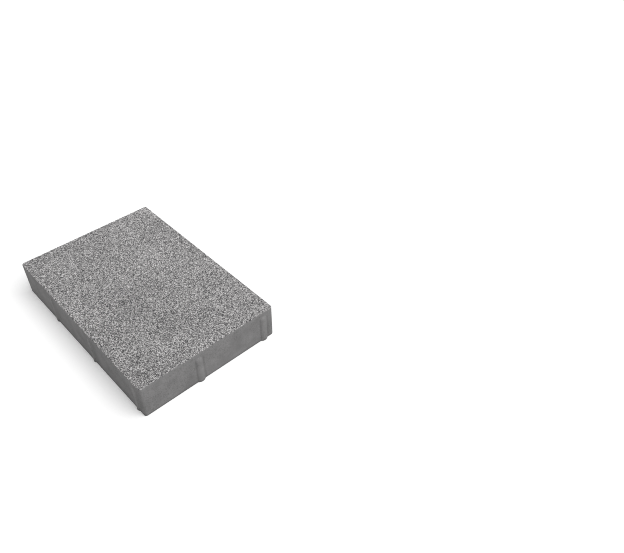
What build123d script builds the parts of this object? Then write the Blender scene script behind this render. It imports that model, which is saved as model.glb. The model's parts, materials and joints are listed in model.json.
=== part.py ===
from build123d import *
import math
import os

# A pressed concrete paving stone with spacer nibs on its four sides.
# X runs along the stone, Y across it and Z up. The origin is the middle of the face it lies on.

# Driving dimensions in millimetres
module_length = 600.0  # room the stone takes in the paving, with one joint
module_width = 400.0  # the same across the stone
body_height = 100.0  # laid face to bedding face
corner_radius = 7.0  # upright corners, as the mould leaves them
top_arris_radius = 2.0  # edge of the laid face, worn by the blasting
foot_arris_radius = 2.0  # edge of the bedding face
nib_top_drop = 14.0  # laid face to the upper end of a nib
nib_root_radius = 2.0  # hollow where a nib grows out of the side
short_side_nib_depth = 5.0  # keeps the joint at the ends of the stone
short_side_nib_width = 22.0
short_side_nibs = (32.0, 234.0)  # nib middles from the right-hand end of the side, seen from outside
long_side_nib_depth = 3.0  # keeps the joint along the stone
long_side_nib_width = 12.0
long_side_nibs = (30.0, 234.0, 430.0)

# Dependent dimensions
body_length = module_length - short_side_nib_depth
body_width = module_width - long_side_nib_depth
nib_overrun = 2 * short_side_nib_width  # nibs run on below the bedding face until they are trimmed
trim_depth = nib_overrun + short_side_nib_width


def side_plane(turn, reach):
    """Plane of a side face: x to the right seen from outside, y up, z outwards."""
    outwards = (math.cos(math.radians(turn)), math.sin(math.radians(turn)), 0)
    rightwards = (-outwards[1], outwards[0], 0)
    return Plane(origin=(reach * outwards[0], reach * outwards[1], 0), x_dir=rightwards, z_dir=outwards)


def rib_radius(width, depth):
    """Radius of a round rib that is this wide at the side face and stands this far out of it."""
    return (width**2 / 4 + depth**2) / (2 * depth)


# Each side: its plane, its length, the middles of its nibs, and their width and depth
sides = []
for turn in (0, 180):
    ends = side_plane(turn, body_length / 2)
    sides.append((ends, body_width, short_side_nibs, short_side_nib_width, short_side_nib_depth))
for turn in (90, 270):
    flanks = side_plane(turn, body_width / 2)
    sides.append((flanks, body_length, long_side_nibs, long_side_nib_width, long_side_nib_depth))

with BuildPart() as paving_stone:
    # Block, longer below by what is trimmed off
    with BuildSketch(Plane.XY.offset(-trim_depth)):
        RectangleRounded(body_length, body_width, corner_radius)
    extrude(amount=body_height + trim_depth)

    # Spacer nibs: upright round ribs half sunk in the side, with domed ends
    for face_plane, side_length, nib_places, nib_width, nib_depth in sides:
        nib_radius = rib_radius(nib_width, nib_depth)
        dome_height = body_height - nib_top_drop - nib_width / 2
        for place in nib_places:
            across = side_length / 2 - place
            upper_end = face_plane.from_local_coords((across, dome_height, nib_depth - nib_radius))
            lower_end = face_plane.from_local_coords((across, -nib_overrun, nib_depth - nib_radius))
            with BuildSketch(Plane.XY.offset(-nib_overrun)):
                with Locations((lower_end.X, lower_end.Y)):
                    Circle(nib_radius)
            extrude(amount=dome_height + nib_overrun)
            with Locations(upper_end, lower_end):
                Sphere(nib_radius)

    # Hollow at the root of every nib
    for face_plane, side_length, nib_places, nib_width, nib_depth in sides:
        side_face = paving_stone.faces().filter_by(face_plane).sort_by(SortBy.AREA)[-1]
        root_edges = ShapeList()
        for nib_outline in side_face.inner_wires():
            root_edges += nib_outline.edges()
        fillet(root_edges, radius=nib_root_radius)

    # Bedding face, cut straight across block and nibs
    split(bisect_by=Plane.XY, keep=Keep.TOP)
    fillet(paving_stone.faces().sort_by(Axis.Z)[0].edges(), radius=foot_arris_radius)
    fillet(paving_stone.faces().sort_by(Axis.Z)[-1].edges(), radius=top_arris_radius)

os.makedirs("parts", exist_ok=True)
paving_stone.part.label = "paving_stone"
export_step(paving_stone.part, "parts/paving_stone.step")
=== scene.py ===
"""A pressed concrete paving stone with a blasted laid face and spacer nibs on its four sides."""

import json
import logging
import math
from dataclasses import dataclass, replace
from enum import Enum
from typing import Any

import bpy
import numpy as np
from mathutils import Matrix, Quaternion, Vector

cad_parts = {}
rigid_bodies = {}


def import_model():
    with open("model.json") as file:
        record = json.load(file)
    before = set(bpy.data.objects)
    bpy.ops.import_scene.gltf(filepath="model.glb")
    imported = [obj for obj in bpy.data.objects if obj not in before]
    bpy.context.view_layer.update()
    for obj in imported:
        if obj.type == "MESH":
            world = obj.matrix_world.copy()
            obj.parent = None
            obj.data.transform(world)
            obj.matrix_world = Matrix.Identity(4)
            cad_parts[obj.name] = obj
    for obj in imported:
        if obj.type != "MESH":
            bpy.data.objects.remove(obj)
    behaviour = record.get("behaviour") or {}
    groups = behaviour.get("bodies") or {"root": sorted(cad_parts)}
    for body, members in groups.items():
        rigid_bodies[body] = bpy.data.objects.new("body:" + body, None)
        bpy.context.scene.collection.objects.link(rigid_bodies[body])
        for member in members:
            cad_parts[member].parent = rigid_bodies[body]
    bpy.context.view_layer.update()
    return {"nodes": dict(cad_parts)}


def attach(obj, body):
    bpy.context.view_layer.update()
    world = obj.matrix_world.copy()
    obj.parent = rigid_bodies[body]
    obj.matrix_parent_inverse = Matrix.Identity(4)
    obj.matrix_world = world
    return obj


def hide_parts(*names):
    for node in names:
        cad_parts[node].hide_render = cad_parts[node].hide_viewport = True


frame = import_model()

LOG = logging.getLogger("paving_stone")
MM = 0.001
CAD_NODE = "paving_stone"
BODY = "root"
CONCRETE_IOR = 1.5
WHITE = (1.0, 1.0, 1.0, 1.0)

# Attributes of the stone's mesh that the cast skin reads: painted shade beside the nibs with a darker
# streak, a painted highlight on the nib crowns and a painted shadow along the foot
PAINTED_NIB_SHADE_AND_STREAK = "painted_nib_shade_and_streak"
PAINTED_CROWN_LIGHT = "painted_crown_light"
PAINTED_FOOT_SHADOW = "painted_foot_shadow"

# Spans of what a pattern gives: any share, and nearly all values of a noise
WHOLE = (0.0, 1.0)
NOISE = (0.3, 0.7)

# Colour sockets of a Mix node
MIX_FIRST, MIX_SECOND, MIX_RESULT = 6, 7, 2


# Helpers


def linear(hex_colour: str) -> tuple[float, float, float, float]:
    """Turns an sRGB hex value into the linear colour that the shaders take.

    Args:
        hex_colour: Six hex digits after a hash sign.

    Returns:
        Linear red, green, blue and an alpha of one.
    """
    shares = [int(hex_colour[i : i + 2], 16) / 255 for i in (1, 3, 5)]
    red, green, blue = (s / 12.92 if s <= 0.04045 else ((s + 0.055) / 1.055) ** 2.4 for s in shares)
    return (red, green, blue, 1.0)


def around_one(change: float) -> tuple[float, float]:
    """Returns the span from a change below one to the same change above it."""
    return (1 - change, 1 + change)


def add_node(
    tree: bpy.types.NodeTree,
    kind: str,
    inputs: dict[Any, Any] | None = None,
    **settings: Any,
) -> bpy.types.Node:
    """Adds one node to a tree with its settings, input values and links.

    Args:
        tree: Shader or geometry tree that gets the node.
        kind: Blender's type name of the node.
        inputs: Input name or number, with a value or an output socket for each.
        settings: Properties of the node by name.

    Returns:
        The new node.
    """
    node = tree.nodes.new(kind)
    for name, value in settings.items():
        setattr(node, name, value)
    for key, value in (inputs or {}).items():
        if isinstance(value, bpy.types.NodeSocket):
            tree.links.new(value, node.inputs[key])
        else:
            node.inputs[key].default_value = value
    return node


def start_concrete(name: str) -> tuple[bpy.types.Material, bpy.types.Node, bpy.types.NodeSocket]:
    """Starts a concrete material with its surface and the places on the stone.

    Args:
        name: Name of the finish.

    Returns:
        The material, its surface node, and the output that gives each place in millimetres.
    """
    material = bpy.data.materials.new(name)
    material.use_nodes = True
    tree = material.node_tree
    tree.nodes.clear()
    output = add_node(tree, "ShaderNodeOutputMaterial")
    surface = add_node(tree, "ShaderNodeBsdfPrincipled", {"IOR": CONCRETE_IOR})
    tree.links.new(surface.outputs["BSDF"], output.inputs["Surface"])
    coordinates = add_node(tree, "ShaderNodeTexCoord")
    place = add_node(
        tree,
        "ShaderNodeVectorMath",
        {0: coordinates.outputs["Object"], "Scale": 1 / MM},
        operation="SCALE",
    )
    return material, surface, place.outputs["Vector"]


def deselect_everything() -> None:
    """Leaves object mode with nothing selected, because an operator acts on all that is selected."""
    if bpy.context.object is not None and bpy.context.object.mode != "OBJECT":
        bpy.ops.object.mode_set(mode="OBJECT")
    bpy.ops.object.select_all(action="DESELECT")


def activate(piece: bpy.types.Object) -> None:
    """Makes one piece the only selected and the active one."""
    deselect_everything()
    piece.select_set(True)
    bpy.context.view_layer.objects.active = piece


def apply_modifiers(piece: bpy.types.Object) -> None:
    """Applies every modifier of a piece, in order."""
    activate(piece)
    for name in [modifier.name for modifier in piece.modifiers]:
        bpy.ops.object.modifier_apply(modifier=name)


def vertex_places(piece: bpy.types.Object) -> np.ndarray:
    """Returns the places of a piece's vertices in millimetres, one row each."""
    places = np.zeros(len(piece.data.vertices) * 3, np.float32)
    piece.data.vertices.foreach_get("co", places)
    return places.reshape(-1, 3).astype(float) / MM


def smooth_step(low: float, high: float, value: np.ndarray) -> np.ndarray:
    """Returns a soft step from 0 at low to 1 at high for each value."""
    share = np.clip((value - low) / (high - low), 0.0, 1.0)
    return share * share * (3.0 - 2.0 * share)


# Finishes


class Cells(Enum):
    """Axes that a pattern of cells reads."""

    FLAT = "2D"
    SOLID = "3D"


@dataclass(frozen=True)
class BlastedFace:
    """Laid face: concrete of granite and basalt grit, blasted after it set. Sizes in millimetres.

    The blasting takes the cement skin away, so pale, grey and dark grains of one to three millimetres
    stand out of a duller paste. It looks like salt and pepper, quite matt, with tiny shadows between
    the grains, and a little paler or darker in patches a hand wide where the mix was drier or wetter.
    The sand between the grains is finer than this on the real stone. It is drawn as coarse as it needs
    to show.
    """

    name: str = "blasted_granite_concrete"

    # Share of the grains at which each shade of stone starts
    stones: tuple[tuple[float, str], ...] = (
        (0.0, "#403f41"),
        (0.22, "#777676"),
        (0.42, "#989797"),
        (0.62, "#b9b7b7"),
        (0.82, "#e4e2e2"),
    )
    paste: str = "#706e6f"
    grain: float = 1.8
    sand: float = 0.9

    # Size of the notches in a grain's outline, and the spans of the distance from its middle over which
    # it ends and rounds off, all in grain sizes
    raggedness: float = 0.6
    grain_end: tuple[float, float] = (0.85, 0.6)
    grain_dome: tuple[float, float] = (0.7, 0.2)
    grain_roughness: float = 0.76
    paste_roughness: float = 0.94

    # Changes of shade: from one sand grain to the next, in specks and in patches, and a painted light
    # slope across the stone that makes it lighter towards the corner at minus x and plus y
    sand_change: float = 0.38
    speck: float = 0.14
    patch: float = 0.115
    patch_length: float = 115.0
    painted_light_slope: tuple[float, float, float] = (-0.0001, 0.0002, 0.0)
    seed: float = 790.0

    # Relief
    grain_height: float = 0.6
    sand_depth: float = 0.35
    relief: float = 1.0

    def build(self) -> bpy.types.Material:
        """Makes the material.

        Returns:
            The material for the laid face.
        """
        material, surface, millimetres = start_concrete(self.name)
        tree = material.node_tree

        # Each grain has a ragged outline and one of five shades of stone
        wobble = add_node(
            tree,
            "ShaderNodeTexNoise",
            {"Vector": millimetres, "Scale": 1 / (self.raggedness * self.grain), "Detail": 2.0},
        )
        ragged = add_node(
            tree,
            "ShaderNodeVectorMath",
            {0: wobble.outputs["Color"], 1: (self.grain,) * 3, 2: millimetres},
            operation="MULTIPLY_ADD",
        )
        cells = add_node(
            tree,
            "ShaderNodeTexVoronoi",
            {"Vector": ragged.outputs["Vector"], "Scale": 1 / self.grain},
            voronoi_dimensions=Cells.FLAT.value,
        )
        cell_kind = add_node(tree, "ShaderNodeSeparateColor", {"Color": cells.outputs["Color"]})
        stone_colour = add_node(tree, "ShaderNodeValToRGB", {"Fac": cell_kind.outputs["Green"]})
        ramp = stone_colour.color_ramp
        ramp.interpolation = "CONSTANT"
        while len(ramp.elements) < len(self.stones):
            ramp.elements.new(0.5)
        for element, (start, shade) in zip(ramp.elements, self.stones):
            element.position = start
            element.color = linear(shade)

        # Sandy paste shows between the grains
        sand = add_node(
            tree,
            "ShaderNodeTexVoronoi",
            {"Vector": ragged.outputs["Vector"], "Scale": 1 / self.sand},
            voronoi_dimensions=Cells.SOLID.value,
        )
        sand_kind = add_node(tree, "ShaderNodeSeparateColor", {"Color": sand.outputs["Color"]})
        low, high = around_one(self.sand_change)
        sand_shade = add_node(
            tree,
            "ShaderNodeMapRange",
            {"Value": sand_kind.outputs["Red"], "To Min": low, "To Max": high},
        )
        paste_colour = add_node(
            tree,
            "ShaderNodeVectorMath",
            {0: linear(self.paste)[:3], "Scale": sand_shade.outputs["Result"]},
            operation="SCALE",
        )
        in_grain = add_node(
            tree,
            "ShaderNodeMapRange",
            {
                "Value": cells.outputs["Distance"],
                "From Min": self.grain_end[0],
                "From Max": self.grain_end[1],
            },
            interpolation_type="SMOOTHSTEP",
        )
        mixed = add_node(
            tree,
            "ShaderNodeMix",
            {
                "Factor": in_grain.outputs["Result"],
                MIX_FIRST: paste_colour.outputs["Vector"],
                MIX_SECOND: stone_colour.outputs["Color"],
            },
            data_type="RGBA",
        )
        matt = add_node(
            tree,
            "ShaderNodeMapRange",
            {
                "Value": in_grain.outputs["Result"],
                "To Min": self.paste_roughness,
                "To Max": self.grain_roughness,
            },
        )
        tree.links.new(matt.outputs["Result"], surface.inputs["Roughness"])

        # Specks on the grains, patches where the mix was drier or wetter, and a painted light slope
        # across the stone
        low, high = around_one(self.speck)
        speck_shade = add_node(
            tree,
            "ShaderNodeMapRange",
            {"Value": sand_kind.outputs["Blue"], "To Min": low, "To Max": high},
        )
        patches = add_node(
            tree,
            "ShaderNodeTexNoise",
            {
                "Vector": millimetres,
                "W": self.seed,
                "Scale": 1 / self.patch_length,
                "Detail": 4.0,
                "Roughness": 0.5,
            },
            noise_dimensions="4D",
        )
        low, high = around_one(self.patch)
        patch_shade = add_node(
            tree,
            "ShaderNodeMapRange",
            {
                "Value": patches.outputs["Fac"],
                "From Min": NOISE[0],
                "From Max": NOISE[1],
                "To Min": low,
                "To Max": high,
            },
        )
        # painted light: the laid face is made lighter towards one corner and darker towards the other
        painted_light_slope = add_node(
            tree,
            "ShaderNodeVectorMath",
            {0: millimetres, 1: self.painted_light_slope},
            operation="DOT_PRODUCT",
        )
        patch_and_light_slope_shade = add_node(
            tree,
            "ShaderNodeMath",
            {0: painted_light_slope.outputs["Value"], 1: patch_shade.outputs["Result"]},
            operation="ADD",
        )
        shade = add_node(
            tree,
            "ShaderNodeMath",
            {0: speck_shade.outputs["Result"], 1: patch_and_light_slope_shade.outputs["Value"]},
            operation="MULTIPLY",
        )
        coloured = add_node(
            tree,
            "ShaderNodeVectorMath",
            {0: mixed.outputs[MIX_RESULT], "Scale": shade.outputs["Value"]},
            operation="SCALE",
        )
        tree.links.new(coloured.outputs["Vector"], surface.inputs["Base Color"])

        # Grains stand out of the paste
        dome = add_node(
            tree,
            "ShaderNodeMapRange",
            {
                "Value": cells.outputs["Distance"],
                "From Min": self.grain_dome[0],
                "From Max": self.grain_dome[1],
            },
            interpolation_type="SMOOTHSTEP",
        )
        height = add_node(
            tree,
            "ShaderNodeMath",
            {0: dome.outputs["Result"], 1: self.grain_height},
            operation="MULTIPLY",
        )
        sand_height = add_node(
            tree,
            "ShaderNodeMath",
            {0: sand.outputs["Distance"], 1: -self.sand_depth, 2: height.outputs["Value"]},
            operation="MULTIPLY_ADD",
        )
        bump = add_node(
            tree,
            "ShaderNodeBump",
            {"Height": sand_height.outputs["Value"], "Strength": self.relief, "Distance": 1.0 * MM},
        )
        tree.links.new(bump.outputs["Normal"], surface.inputs["Normal"])
        return material


@dataclass(frozen=True)
class CastSkin:
    """Side or bedding face: the cement skin that the steel mould leaves. Sizes in millimetres.

    It is smooth and matt, cloudy where the mix was wetter or drier, with fine sand in it, pin holes from
    trapped air, patches of open pores and faint upright drag lines from pushing the stone out of the
    mould. Painted shade darkens the pin holes and open pores, the hollows beside the nibs, with a darker
    streak on the right of each nib, and the skin towards its foot, where a painted shadow also runs
    along the bottom. A painted highlight makes the nib crowns paler. The sand is drawn coarser than the
    real one, as coarse as it needs to show.
    """

    name: str = "moulded_cement_skin"
    skin: str = "#838282"
    cloud_length: float = 40.0
    sand_size: float = 1.6
    hole_spacing: float = 9.0
    pore_spacing: float = 3.6
    seed: float = 790.0

    # Drag lines to a millimetre along the stone, across it and upwards
    drag_scale: tuple[float, float, float] = (0.3, 0.3, 0.012)

    # Share of the cells that hold a pin hole, the widest hole in cell sizes, and its soft edge
    hole_share: float = 0.35
    hole_reach: float = 0.12
    hole_edge: tuple[float, float] = (-0.01, 0.03)

    # Clouds to a patch of open pores, and the spans of noise over which patch and pore begin
    open_patch_clouds: float = 3.2
    open_patch_edge: tuple[float, float] = (0.46, 0.58)
    pore_edge: tuple[float, float] = (0.47, 0.36)

    # Changes of shade: the clouds, drag lines and sand are the skin's own; the darkening of holes, pores
    # and foot is painted shade and shadow, that beside the nibs is painted shade in the hollows with a
    # darker streak, and the paler crowns are a painted highlight
    cloud: float = 0.2
    drag: float = 0.03
    sand: float = 0.08
    painted_hole_shade: float = 0.5
    pore: float = 0.16
    painted_foot_shadow: float = 0.52
    nib_shade_and_streak_strength: float = 0.24
    crown_light: float = 0.2

    # Height over which painted shade makes the skin darker towards the foot, and its shade at the foot
    # and the top
    rise: tuple[float, float] = (0.0, 100.0)
    painted_height_shades: tuple[float, float] = (0.92, 1.05)

    # Roughness where the skin is closed and where it is open
    roughness: tuple[float, float] = (0.82, 0.96)

    # Relief
    sand_depth: float = 0.12
    drag_height: float = 0.25
    pore_depth: float = 3.0
    hole_depth: float = 0.9
    relief: float = 0.7

    def build(self) -> bpy.types.Material:
        """Makes the material.

        Returns:
            The material for a face that the mould has left.
        """
        material, surface, millimetres = start_concrete(self.name)
        tree = material.node_tree
        axes = add_node(tree, "ShaderNodeSeparateXYZ", {0: millimetres})

        # Clouds, drag lines and sand
        clouds = add_node(
            tree,
            "ShaderNodeTexNoise",
            {
                "Vector": millimetres,
                "W": self.seed,
                "Scale": 1 / self.cloud_length,
                "Detail": 4.0,
                "Roughness": 0.55,
            },
            noise_dimensions="4D",
        )
        stretched = add_node(
            tree,
            "ShaderNodeVectorMath",
            {0: millimetres, 1: self.drag_scale},
            operation="MULTIPLY",
        )
        lines = add_node(
            tree,
            "ShaderNodeTexNoise",
            {"Vector": stretched.outputs["Vector"], "Scale": 1.0, "Detail": 3.0},
        )
        grains = add_node(
            tree,
            "ShaderNodeTexVoronoi",
            {"Vector": millimetres, "Scale": 1 / self.sand_size},
            voronoi_dimensions=Cells.SOLID.value,
        )
        grain_kind = add_node(tree, "ShaderNodeSeparateColor", {"Color": grains.outputs["Color"]})

        # Pin holes from trapped air
        holes = add_node(
            tree,
            "ShaderNodeTexVoronoi",
            {"Vector": millimetres, "Scale": 1 / self.hole_spacing},
            voronoi_dimensions=Cells.SOLID.value,
        )
        hole_kind = add_node(tree, "ShaderNodeSeparateColor", {"Color": holes.outputs["Color"]})
        hole_size = add_node(
            tree,
            "ShaderNodeMapRange",
            {
                "Value": hole_kind.outputs["Blue"],
                "From Min": 1 - self.hole_share,
                "To Max": self.hole_reach,
            },
        )
        hole_edge = add_node(
            tree,
            "ShaderNodeMath",
            {0: hole_size.outputs["Result"], 1: holes.outputs["Distance"]},
            operation="SUBTRACT",
        )
        in_hole = add_node(
            tree,
            "ShaderNodeMapRange",
            {
                "Value": hole_edge.outputs["Value"],
                "From Min": self.hole_edge[0],
                "From Max": self.hole_edge[1],
            },
        )

        # Open pores, only in some patches
        pores = add_node(
            tree,
            "ShaderNodeTexNoise",
            {"Vector": millimetres, "Scale": 1 / self.pore_spacing, "Detail": 2.0, "Roughness": 0.4},
        )
        open_patches = add_node(
            tree,
            "ShaderNodeTexNoise",
            {
                "Vector": millimetres,
                "Scale": 1 / (self.open_patch_clouds * self.cloud_length),
                "Detail": 1.0,
            },
        )
        openness = add_node(
            tree,
            "ShaderNodeMapRange",
            {
                "Value": open_patches.outputs["Fac"],
                "From Min": self.open_patch_edge[0],
                "From Max": self.open_patch_edge[1],
                "To Max": self.pore,
            },
            interpolation_type="SMOOTHSTEP",
        )
        in_pore = add_node(
            tree,
            "ShaderNodeMapRange",
            {
                "Value": pores.outputs["Fac"],
                "From Min": self.pore_edge[0],
                "From Max": self.pore_edge[1],
            },
            interpolation_type="SMOOTHSTEP",
        )
        pore = add_node(
            tree,
            "ShaderNodeMath",
            {0: in_pore.outputs["Result"], 1: openness.outputs["Result"]},
            operation="MULTIPLY",
        )

        # Painted shadow along the foot, painted shade in the hollows beside the nibs with a darker
        # streak, and a painted highlight on the nib crowns
        painted_foot_shadow, painted_nib_shade_and_streak, painted_crown_light = (
            add_node(tree, "ShaderNodeAttribute", attribute_name=name)
            for name in (PAINTED_FOOT_SHADOW, PAINTED_NIB_SHADE_AND_STREAK, PAINTED_CROWN_LIGHT)
        )

        # Each mark changes the shade: what it reads, over which span, and the shades at its two ends
        marks = (
            (clouds.outputs["Fac"], NOISE, around_one(self.cloud)),
            (lines.outputs["Fac"], NOISE, around_one(self.drag)),
            (grain_kind.outputs["Red"], WHOLE, around_one(self.sand)),
            # the pin holes and open pores are darkened with painted shade
            (in_hole.outputs["Result"], WHOLE, (1.0, 1 - self.painted_hole_shade)),
            (pore.outputs["Value"], WHOLE, (1.0, 0.0)),
            # a painted shadow darkens the foot
            (painted_foot_shadow.outputs["Fac"], WHOLE, (1.0, 1 - self.painted_foot_shadow)),
            # painted shade makes the skin darker towards the foot
            (axes.outputs["Z"], self.rise, self.painted_height_shades),
            # painted shade in the hollows beside the nibs with a darker streak, and a painted highlight
            # on the crowns
            (painted_nib_shade_and_streak.outputs["Fac"], WHOLE, (1.0, 1 - self.nib_shade_and_streak_strength)),
            (painted_crown_light.outputs["Fac"], WHOLE, (1.0, 1 + self.crown_light)),
        )
        shade = 1.0
        for value, (low, high), (first, last) in marks:
            mark_shade = add_node(
                tree,
                "ShaderNodeMapRange",
                {"Value": value, "From Min": low, "From Max": high, "To Min": first, "To Max": last},
            )
            product = add_node(
                tree,
                "ShaderNodeMath",
                {0: shade, 1: mark_shade.outputs["Result"]},
                operation="MULTIPLY",
            )
            shade = product.outputs["Value"]
        coloured = add_node(
            tree,
            "ShaderNodeVectorMath",
            {0: linear(self.skin)[:3], "Scale": shade},
            operation="SCALE",
        )
        tree.links.new(coloured.outputs["Vector"], surface.inputs["Base Color"])
        matt = add_node(
            tree,
            "ShaderNodeMapRange",
            {
                "Value": clouds.outputs["Fac"],
                "From Min": NOISE[0],
                "From Max": NOISE[1],
                "To Min": self.roughness[0],
                "To Max": self.roughness[1],
            },
        )
        tree.links.new(matt.outputs["Result"], surface.inputs["Roughness"])

        # The same marks in relief
        forms = (
            (grains.outputs["Distance"], -self.sand_depth),
            (lines.outputs["Fac"], self.drag_height),
            (pore.outputs["Value"], -self.pore_depth),
            (in_hole.outputs["Result"], -self.hole_depth),
        )
        height = 0.0
        for value, rise in forms:
            raised = add_node(
                tree,
                "ShaderNodeMath",
                {0: value, 1: rise, 2: height},
                operation="MULTIPLY_ADD",
            )
            height = raised.outputs["Value"]
        bump = add_node(
            tree,
            "ShaderNodeBump",
            {"Height": height, "Strength": self.relief, "Distance": 1.0 * MM},
        )
        tree.links.new(bump.outputs["Normal"], surface.inputs["Normal"])
        return material


# The stone


class Face(Enum):
    """Material slot of each kind of face."""

    SIDE = 0
    LAID = 1
    BEDDING = 2


@dataclass(frozen=True)
class NibbedSide:
    """One side of the stone with its nibs, sizes in millimetres.

    Its axes are right, out and up, seen from outside. Nib places are counted from its right-hand end.
    """

    turn: float
    reach: float
    length: float
    nib_places: tuple[float, ...]
    nib_width: float
    nib_depth: float

    # Painted shade in the hollow on the left and the right of a nib, and the darkness of the streak
    # beside each nib
    crease_shades: tuple[float, float]
    streaks: tuple[float, ...]

    # How much the painted highlight pales the crowns, and the height that the painted shadow along the
    # foot reaches
    crown_light: float
    foot_shadow_reach: float

    # Place and width of the painted shade in the hollows, from the root of the nib outwards
    left_hollow: tuple[float, float] = (0.0, 2.6)
    right_hollow: tuple[float, float] = (1.5, 4.0)

    # The darker streak: where it is darkest, how it rises to there, and how it thins out beyond
    streak_place: float = 9.0
    streak_rise: float = 6.0
    streak_fall: float = 13.0
    streak_tail: float = 1.3
    streak_start: float = 4.0

    # Span of a nib's depth over which its crown starts to get the painted highlight
    crown_light_span: tuple[float, float] = (0.1, 0.6)

    # What lies this far behind the side belongs to another one
    skin_depth: float = 3.0

    def axes(self, places: np.ndarray) -> tuple[np.ndarray, np.ndarray]:
        """Measures points in the axes of this side.

        Args:
            places: Points in the axes of the stone, one row each.

        Returns:
            How far each point lies to the right of the side's middle, and how far it stands out.
        """
        outwards = np.array([math.cos(math.radians(self.turn)), math.sin(math.radians(self.turn))])
        rightwards = np.array([-outwards[1], outwards[0]])
        return places[:, :2] @ rightwards, places[:, :2] @ outwards - self.reach

    def painted_nib_shade_and_streak(self, places: np.ndarray, dome_height: float) -> np.ndarray:
        """Finds the hollows round the nibs, darkened with painted shade, and a darker streak on the
        right of each.

        Args:
            places: Points in the axes of the stone, one row each.
            dome_height: Height at which the upper ends of the nibs start to round over.

        Returns:
            A share from 0 to 1 for each point.
        """
        right, out = self.axes(places)
        share = np.zeros(len(places))
        for nib_place, streak in zip(self.nib_places, self.streaks):
            beside = right - (self.length / 2 - nib_place)
            above = np.maximum(places[:, 2] - dome_height, 0.0)
            gap = np.hypot(beside, above) - self.nib_width / 2
            below_head = 1.0 - smooth_step(0.0, 0.5 * self.nib_width, above)
            # painted shade darkens the hollows on both sides of the nib
            left_shade, right_shade = (
                crease * np.exp(-(((gap - place) / width) ** 2))
                for crease, (place, width) in zip(self.crease_shades, (self.left_hollow, self.right_hollow))
            )
            hollow = np.where(beside < 0.0, left_shade, right_shade)
            # a darker streak runs on the right of the nib
            past = gap - self.streak_place
            rising = np.exp(-((past / self.streak_rise) ** 2))
            thinning = np.exp(-((np.maximum(past, 0.0) / self.streak_fall) ** self.streak_tail))
            beyond_crown = smooth_step(0.0, self.streak_start, beside)
            darker_streak = streak * np.where(past < 0.0, rising, thinning) * beyond_crown
            share = np.maximum(share, np.maximum(hollow, darker_streak) * below_head)
        return share * (out > -self.skin_depth)

    def painted_crown_light(self, places: np.ndarray) -> np.ndarray:
        """Finds the crowns of the nibs, made paler with a painted highlight.

        Args:
            places: Points in the axes of the stone, one row each.

        Returns:
            A share from 0 to 1 for each point.
        """
        out = self.axes(places)[1]
        low, high = self.crown_light_span
        return self.crown_light * smooth_step(low * self.nib_depth, high * self.nib_depth, out)

    def painted_foot_shadow(self, places: np.ndarray) -> np.ndarray:
        """Finds the foot of this side, darkened with a painted shadow.

        Args:
            places: Points in the axes of the stone, one row each.

        Returns:
            A share from 0 to 1 for each point.
        """
        out = self.axes(places)[1]
        return (1.0 - smooth_step(0.0, self.foot_shadow_reach, places[:, 2])) * (out > -self.skin_depth)


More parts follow.
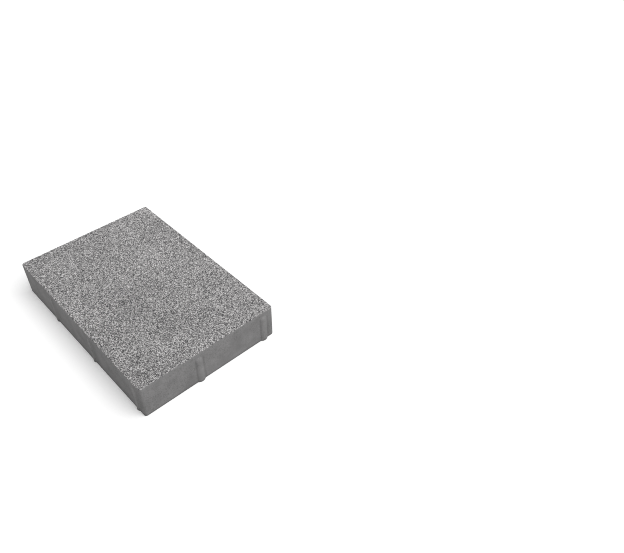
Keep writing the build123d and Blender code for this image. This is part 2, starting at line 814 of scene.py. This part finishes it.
@dataclass(frozen=True)
class Blasting:
    """Relief that the blasting leaves in the laid face, sizes in millimetres."""

    grit: float = 4.5
    depth: float = 0.8
    waviness: float = 0.25
    wave_length: float = 70.0
    seed: int = 7
    scatter: float = 0.5

    # Span of the distance from the middle of a piece of grit, in grit sizes, over which it rounds off,
    # and how far the lowest one stands out beside the highest
    grit_dome: tuple[float, float] = (0.65, 0.15)
    lowest_grain: float = 0.3

    # The relief fades out over this span of depths below the laid face
    fade: tuple[float, float] = (2.2, 0.5)

    def tree(self, laid_face: float) -> bpy.types.NodeTree:
        """Makes the node tree that sinks the paste between the grit of the laid face.

        Args:
            laid_face: Height of the laid face.

        Returns:
            The geometry tree for a modifier.
        """
        tree = bpy.data.node_groups.new("blasting", "GeometryNodeTree")
        tree.interface.new_socket("Geometry", in_out="INPUT", socket_type="NodeSocketGeometry")
        tree.interface.new_socket("Geometry", in_out="OUTPUT", socket_type="NodeSocketGeometry")
        start = add_node(tree, "NodeGroupInput")
        end = add_node(tree, "NodeGroupOutput")
        place = add_node(tree, "GeometryNodeInputPosition")
        scaled = add_node(
            tree,
            "ShaderNodeVectorMath",
            {0: place.outputs["Position"], "Scale": 1 / MM},
            operation="SCALE",
        )
        millimetres = scaled.outputs["Vector"]
        axes = add_node(tree, "ShaderNodeSeparateXYZ", {0: millimetres})
        on_face = add_node(
            tree,
            "ShaderNodeMapRange",
            {
                "Value": axes.outputs["Z"],
                "From Min": laid_face - self.fade[0],
                "From Max": laid_face - self.fade[1],
            },
            interpolation_type="SMOOTHSTEP",
        )

        # Domes of grit, each standing out by its own amount
        cells = add_node(
            tree,
            "ShaderNodeTexVoronoi",
            {"Vector": millimetres, "Scale": 1 / self.grit},
            voronoi_dimensions=Cells.FLAT.value,
        )
        kind = add_node(tree, "FunctionNodeSeparateColor", {0: cells.outputs["Color"]})
        dome = add_node(
            tree,
            "ShaderNodeMapRange",
            {
                "Value": cells.outputs["Distance"],
                "From Min": self.grit_dome[0],
                "From Max": self.grit_dome[1],
            },
            interpolation_type="SMOOTHSTEP",
        )
        stand = add_node(
            tree,
            "ShaderNodeMapRange",
            {"Value": kind.outputs["Red"], "To Min": self.lowest_grain, "To Max": 1.0},
        )
        raised = add_node(
            tree,
            "ShaderNodeMath",
            {0: dome.outputs["Result"], 1: stand.outputs["Result"]},
            operation="MULTIPLY",
        )
        sunk = add_node(
            tree,
            "ShaderNodeMath",
            {0: raised.outputs["Value"], 1: 1.0},
            operation="SUBTRACT",
        )

        # Long shallow waves, and the whole relief only near the laid face
        waves = add_node(
            tree,
            "ShaderNodeTexNoise",
            {"Vector": millimetres, "Scale": 1 / self.wave_length, "Detail": 2.0},
        )
        wave = add_node(
            tree,
            "ShaderNodeMath",
            {0: waves.outputs[0], 1: -self.waviness},
            operation="MULTIPLY",
        )
        depth = add_node(
            tree,
            "ShaderNodeMath",
            {0: sunk.outputs["Value"], 1: self.depth, 2: wave.outputs["Value"]},
            operation="MULTIPLY_ADD",
        )
        faded = add_node(
            tree,
            "ShaderNodeMath",
            {0: depth.outputs["Value"], 1: on_face.outputs["Result"]},
            operation="MULTIPLY",
        )
        metres = add_node(
            tree,
            "ShaderNodeMath",
            {0: faded.outputs["Value"], 1: MM},
            operation="MULTIPLY",
        )
        offset = add_node(tree, "ShaderNodeCombineXYZ", {"Z": metres.outputs["Value"]})
        moved = add_node(
            tree,
            "GeometryNodeSetPosition",
            {"Geometry": start.outputs[0], "Offset": offset.outputs["Vector"]},
        )
        tree.links.new(moved.outputs["Geometry"], end.inputs[0])
        return tree


@dataclass
class CastStone:
    """The stone: one closed skin with a fine net on the laid face. Sizes in millimetres."""

    body_length: float = 595.0
    body_width: float = 397.0
    body_height: float = 100.0
    arris: float = 2.0
    nib_top_drop: float = 14.0
    short_side_nibs: tuple[float, ...] = (32.0, 234.0)
    short_side_nib_width: float = 22.0
    short_side_nib_depth: float = 5.0
    long_side_nibs: tuple[float, ...] = (30.0, 234.0, 430.0)
    long_side_nib_width: float = 12.0
    long_side_nib_depth: float = 3.0

    # The net: its pitch on the laid face, and its rows down the side to where pressing ends
    net_pitch: float = 1.85
    arris_rows: tuple[float, ...] = (0.0, 0.3, 0.6, 1.0, 2.5)
    head_margin: float = 2.0
    head_row_pitch: float = 2.5
    head_rows: int = 8
    side_rows: tuple[float, ...] = (56.0, 42.0, 28.0, 15.0)
    pressed_height: float = 8.0

    # The foot: its gap to the bed, its straight rows, and the turns of its rounded edge in degrees
    foot_gap: float = 0.01
    foot_rows: int = 2
    foot_turns: tuple[float, ...] = (0.0, 30.0, 60.0, 90.0)

    # Share of the arris that the blasting reaches, and height up to which a face counts as bedding
    blasted_arris: float = 0.9
    bedding_reach: float = 0.1

    # Edges that turn by less than this angle in degrees are shaded smooth
    smooth_angle: float = 40.0

    blasting: Blasting = Blasting()
    laid_finish: BlastedFace = BlastedFace()
    side_finish: CastSkin = CastSkin()
    bedding_finish: CastSkin = CastSkin(
        name="pallet_cast_concrete",
        skin="#7c7b7a",
        pore=0.4,
        hole_spacing=7.0,
        sand=0.2,
        drag=0.0,
        # a faint painted shadow along the foot of the bedding face
        painted_foot_shadow=0.02,
    )

    def sides(self) -> list[NibbedSide]:
        """Lists the four sides.

        Returns:
            The two short sides and the two long ones.
        """
        short_side = NibbedSide(
            turn=0.0,
            reach=self.body_length / 2,
            length=self.body_width,
            nib_places=self.short_side_nibs,
            nib_width=self.short_side_nib_width,
            nib_depth=self.short_side_nib_depth,
            # painted shade in the nib hollows, a darker streak beside each nib, a painted highlight on
            # the crowns and a painted shadow along the foot
            crease_shades=(0.5, 0.85),
            streaks=(0.1, 0.1),
            crown_light=0.3,
            foot_shadow_reach=7.5,
        )
        long_side = NibbedSide(
            turn=90.0,
            reach=self.body_width / 2,
            length=self.body_length,
            nib_places=self.long_side_nibs,
            nib_width=self.long_side_nib_width,
            nib_depth=self.long_side_nib_depth,
            # painted shade in the nib hollows, a darker streak beside each nib, a painted highlight on
            # the crowns and a painted shadow along the foot
            crease_shades=(0.1, 0.1),
            streaks=(0.55, 0.95, 0.6),
            crown_light=1.0,
            foot_shadow_reach=15.0,
        )
        return [
            replace(side, turn=side.turn + turn)
            for side in (short_side, long_side)
            for turn in (0.0, 180.0)
        ]

    def cast_form(self) -> bpy.types.Object:
        """Copies the CAD node and joins its loose triangles, as the form that the skin is pressed onto.

        Returns:
            The merged copy, which is removed once the skin has its shape.
        """
        form = frame["nodes"][CAD_NODE].copy()
        form.data = frame["nodes"][CAD_NODE].data.copy()
        form.name = "cast_form"
        form.parent = None
        bpy.context.scene.collection.objects.link(form)
        activate(form)
        bpy.ops.object.mode_set(mode="EDIT")
        bpy.ops.mesh.select_all(action="SELECT")
        bpy.ops.mesh.remove_doubles(threshold=0.001 * MM)
        bpy.ops.object.mode_set(mode="OBJECT")
        return form

    def rows(self) -> list[float]:
        """Divides the pressed part of the side into rows, closer at the arris and the nib heads.

        Returns:
            The height of each row, from the laid face down.
        """
        head = self.body_height - self.nib_top_drop + self.head_margin
        heights = [self.body_height - self.arris * share for share in self.arris_rows]
        heights += [head - self.head_row_pitch * row for row in range(self.head_rows)]
        heights += [*self.side_rows, self.pressed_height]
        return [above - below for above, below in zip(heights, heights[1:])]

    def block(self) -> bpy.types.Object:
        """Models the block: a fine grid for the laid face, with its rim drawn down in rows.

        Returns:
            The block with sharp corners, open below.
        """
        deselect_everything()
        bpy.ops.mesh.primitive_grid_add(
            x_subdivisions=round(self.body_length / self.net_pitch),
            y_subdivisions=round(self.body_width / self.net_pitch),
            size=1.0,
            location=(0.0, 0.0, self.body_height * MM),
        )
        stone = bpy.context.object
        stone.name = "cast_paving_stone"
        stone.scale = (self.body_length * MM, self.body_width * MM, 1.0)
        bpy.ops.object.transform_apply(location=True, rotation=True, scale=True)
        bpy.ops.object.mode_set(mode="EDIT")
        bpy.ops.mesh.select_mode(type="VERT")

        # Scatter the net away from its rim, so that no straight rows show in the relief
        bpy.ops.mesh.select_all(action="DESELECT")
        bpy.ops.mesh.select_non_manifold()
        bpy.ops.mesh.select_more()
        bpy.ops.mesh.select_all(action="INVERT")
        bpy.ops.transform.vertex_random(offset=self.blasting.scatter * MM, seed=self.blasting.seed)

        # Narrow rows along the rim, where the edge is worn round
        bpy.ops.mesh.select_mode(type="EDGE")
        for side in (-1, 1):
            for axis, length in ((0, self.body_length), (1, self.body_width)):
                place = [0.0, 0.0, 0.0]
                place[axis] = side * (length / 2 - self.arris / 2) * MM
                normal = [0.0, 0.0, 0.0]
                normal[axis] = 1.0
                bpy.ops.mesh.select_all(action="SELECT")
                bpy.ops.mesh.bisect(plane_co=place, plane_no=normal)

        # Sides, down to where the nibs have their full depth
        bpy.ops.mesh.select_all(action="DESELECT")
        bpy.ops.mesh.select_non_manifold()
        for row in self.rows():
            bpy.ops.mesh.extrude_edges_move(TRANSFORM_OT_translate={"value": (0.0, 0.0, -row * MM)})
        bpy.ops.object.mode_set(mode="OBJECT")
        return stone

    def press_onto(self, stone: bpy.types.Object, form: bpy.types.Object) -> None:
        """Draws the block onto the cast form, so that it takes its nibs, corners and worn edges.

        Args:
            stone: The block.
            form: The merged copy of the CAD node.
        """
        wrap = stone.modifiers.new("press", "SHRINKWRAP")
        wrap.target = form
        wrap.wrap_method = "NEAREST_SURFACEPOINT"
        apply_modifiers(stone)
        bpy.data.objects.remove(form)

    def close_foot(self, stone: bpy.types.Object) -> None:
        """Draws the pressed rim down to the foot, closes it and rounds the edge of the bedding face.

        Args:
            stone: The pressed stone, open below.
        """
        activate(stone)
        bpy.ops.object.mode_set(mode="EDIT")
        bpy.ops.mesh.select_all(action="DESELECT")
        bpy.ops.mesh.select_non_manifold()
        drop = self.pressed_height - self.arris - self.foot_gap
        for _ in range(self.foot_rows):
            step = (0.0, 0.0, -drop / self.foot_rows * MM)
            bpy.ops.mesh.extrude_edges_move(TRANSFORM_OT_translate={"value": step})
        bpy.ops.mesh.edge_face_add()
        bpy.ops.mesh.select_all(action="SELECT")
        bpy.ops.mesh.normals_make_consistent(inside=False)
        bpy.ops.mesh.select_all(action="DESELECT")
        bpy.ops.object.mode_set(mode="OBJECT")
        largest = max(stone.data.polygons, key=lambda face: face.area)
        largest.select = True
        bpy.ops.object.mode_set(mode="EDIT")
        bpy.ops.mesh.select_mode(type="FACE")
        turns = [math.radians(turn) for turn in self.foot_turns]
        for last, turn in zip(turns, turns[1:]):
            inwards = self.arris * (math.cos(last) - math.cos(turn))
            downwards = self.arris * (math.sin(turn) - math.sin(last))
            bpy.ops.mesh.inset(thickness=inwards * MM, depth=0.0, use_boundary=True)
            bpy.ops.transform.translate(value=(0.0, 0.0, -downwards * MM))
        bpy.ops.object.mode_set(mode="OBJECT")

    def blast(self, stone: bpy.types.Object) -> None:
        """Gives the laid face its grit.

        Args:
            stone: The pressed stone.
        """
        blasting = stone.modifiers.new("blasting", "NODES")
        blasting.node_group = self.blasting.tree(self.body_height)
        apply_modifiers(stone)

    def mark_painted_shading_and_streaks(self, stone: bpy.types.Object) -> None:
        """Marks the painted shade in the hollows beside the nibs with a darker streak, the painted
        highlight on their crowns and the painted shadow along the foot for the cast skin.

        Args:
            stone: The finished mesh.
        """
        places = vertex_places(stone)
        marks = {name: np.zeros(len(places)) for name in (PAINTED_NIB_SHADE_AND_STREAK, PAINTED_CROWN_LIGHT, PAINTED_FOOT_SHADOW)}
        for side in self.sides():
            dome_height = self.body_height - self.nib_top_drop - side.nib_width / 2
            marks[PAINTED_NIB_SHADE_AND_STREAK] = np.maximum(marks[PAINTED_NIB_SHADE_AND_STREAK], side.painted_nib_shade_and_streak(places, dome_height))
            marks[PAINTED_CROWN_LIGHT] = np.maximum(marks[PAINTED_CROWN_LIGHT], side.painted_crown_light(places))
            marks[PAINTED_FOOT_SHADOW] = np.maximum(marks[PAINTED_FOOT_SHADOW], side.painted_foot_shadow(places))
        for name, shares in marks.items():
            attribute = stone.data.attributes.new(name, "FLOAT", "POINT")
            attribute.data.foreach_set("value", shares.astype(np.float32))

    def dress(self, stone: bpy.types.Object) -> None:
        """Gives each face its finish.

        Args:
            stone: The finished mesh.
        """
        finishes = {
            Face.SIDE: self.side_finish,
            Face.LAID: self.laid_finish,
            Face.BEDDING: self.bedding_finish,
        }
        for face in Face:
            stone.data.materials.append(finishes[face].build())
        centres = np.zeros(len(stone.data.polygons) * 3, np.float32)
        stone.data.polygons.foreach_get("center", centres)
        heights = centres.reshape(-1, 3)[:, 2] / MM
        slots = np.full(len(heights), Face.SIDE.value, np.int32)
        slots[heights > self.body_height - self.blasted_arris * self.arris] = Face.LAID.value
        slots[heights < self.bedding_reach] = Face.BEDDING.value
        stone.data.polygons.foreach_set("material_index", slots)

    def build(self) -> bpy.types.Object:
        """Models and dresses the stone.

        Returns:
            The finished piece.
        """
        form = self.cast_form()
        stone = self.block()
        self.press_onto(stone, form)
        self.close_foot(stone)
        self.blast(stone)
        activate(stone)
        bpy.ops.object.shade_smooth_by_angle(angle=math.radians(self.smooth_angle))
        self.mark_painted_shading_and_streaks(stone)
        self.dress(stone)
        stone.data.calc_loop_triangles()
        LOG.info("%s: %d triangles", stone.name, len(stone.data.loop_triangles))
        return stone


# Studio


@dataclass
class Studio:
    """Pale floor, one wide soft lamp, even surround and the camera. Metres and degrees."""

    floor_reach: float = 12.0
    floor_colour: str = "#d2d2d2"
    floor_glow: float = 0.12
    surround: float = 0.25
    lamp_place: tuple[float, float, float] = (1.2, 0.38, 2.4)
    lamp_spread: float = 60.0
    lamp_strength: float = 2.6
    camera_place: tuple[float, float, float] = (1.21156, -0.54074, 1.26206)
    camera_aim: tuple[float, float, float] = (-0.53510, 0.51468, -0.66990)
    camera_tilt: float = 0.763

    # Lens and sensor width in millimetres, and the width of a pixel's filter in pixels
    lens: float = 37.005
    sensor_width: float = 36.0
    filter_width: float = 1.0

    def seen_directly(self, tree: bpy.types.NodeTree) -> bpy.types.NodeSocket:
        """Tells the rays that show a surface to the eye from those that only light the stone.

        Args:
            tree: Material or world tree that asks.

        Returns:
            An output that is 1 for camera, glossy and transmission rays.
        """
        rays = add_node(tree, "ShaderNodeLightPath")
        direct = rays.outputs["Is Camera Ray"]
        for other in ("Is Glossy Ray", "Is Transmission Ray"):
            either = add_node(
                tree,
                "ShaderNodeMath",
                {0: direct, 1: rays.outputs[other]},
                operation="MAXIMUM",
            )
            direct = either.outputs["Value"]
        return direct

    def floor(self) -> None:
        """Lays the pale floor."""
        deselect_everything()
        bpy.ops.mesh.primitive_plane_add(size=2 * self.floor_reach, location=(0.0, 0.0, 0.0))
        floor = bpy.context.object
        floor.name = "floor"
        material = bpy.data.materials.new("white_studio_floor")
        material.use_nodes = True
        tree = material.node_tree
        tree.nodes.clear()
        output = add_node(tree, "ShaderNodeOutputMaterial")
        paint = add_node(tree, "ShaderNodeBsdfDiffuse", {"Color": linear(self.floor_colour)})
        seen_paint = add_node(tree, "ShaderNodeBsdfDiffuse", {"Color": WHITE})
        glow = add_node(tree, "ShaderNodeEmission", {"Color": WHITE, "Strength": self.floor_glow})
        seen = add_node(
            tree,
            "ShaderNodeAddShader",
            {0: seen_paint.outputs["BSDF"], 1: glow.outputs["Emission"]},
        )
        mixed = add_node(
            tree,
            "ShaderNodeMixShader",
            {0: self.seen_directly(tree), 1: paint.outputs["BSDF"], 2: seen.outputs["Shader"]},
        )
        tree.links.new(mixed.outputs["Shader"], output.inputs["Surface"])
        floor.data.materials.append(material)

    def world(self) -> None:
        """Makes an even pale surround, plain white where the camera sees it."""
        world = bpy.data.worlds.new("soft_surround")
        bpy.context.scene.world = world
        world.use_nodes = True
        tree = world.node_tree
        tree.nodes.clear()
        output = add_node(tree, "ShaderNodeOutputWorld")
        strength = add_node(
            tree,
            "ShaderNodeMapRange",
            {"Value": self.seen_directly(tree), "To Min": self.surround, "To Max": 1.0},
        )
        sky = add_node(
            tree,
            "ShaderNodeBackground",
            {"Color": WHITE, "Strength": strength.outputs["Result"]},
        )
        tree.links.new(sky.outputs["Background"], output.inputs["Surface"])

    def lamp(self) -> None:
        """Hangs the soft lamp, so far off that it lights stone and floor evenly."""
        light = bpy.data.lights.new("overhead_softbox", "SUN")
        light.angle = math.radians(self.lamp_spread)
        light.energy = self.lamp_strength
        lamp = bpy.data.objects.new("overhead_softbox", light)
        lamp.location = self.lamp_place
        lamp.rotation_mode = "QUATERNION"
        lamp.rotation_quaternion = (-Vector(self.lamp_place)).to_track_quat("-Z", "Y")
        bpy.context.scene.collection.objects.link(lamp)

    def camera(self) -> None:
        """Sets the camera where the photograph was taken from, with a filter as crisp as its picture."""
        view = bpy.data.cameras.new("camera")
        view.sensor_fit = "HORIZONTAL"
        view.sensor_width = self.sensor_width
        view.lens = self.lens
        camera = bpy.data.objects.new("camera", view)
        camera.location = self.camera_place
        camera.rotation_mode = "QUATERNION"
        level = Vector(self.camera_aim).to_track_quat("-Z", "Y")
        camera.rotation_quaternion = level @ Quaternion((0.0, 0.0, 1.0), math.radians(self.camera_tilt))
        bpy.context.scene.collection.objects.link(camera)
        bpy.context.scene.camera = camera
        bpy.context.scene.cycles.filter_width = self.filter_width
        bpy.context.scene.cycles.denoising_prefilter = "NONE"

    def build(self) -> None:
        """Sets up the floor, the light and the camera."""
        self.floor()
        self.world()
        self.lamp()
        self.camera()
        bpy.context.scene.view_settings.view_transform = "Standard"
        LOG.info("studio: floor, surround, lamp and camera")


def main() -> None:
    """Builds the stone and the studio."""
    logging.basicConfig(level=logging.INFO, format="%(name)s: %(message)s")
    stone = CastStone().build()
    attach(stone, BODY)
    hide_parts(CAD_NODE)
    Studio().build()


if __name__ == "__main__":
    main()
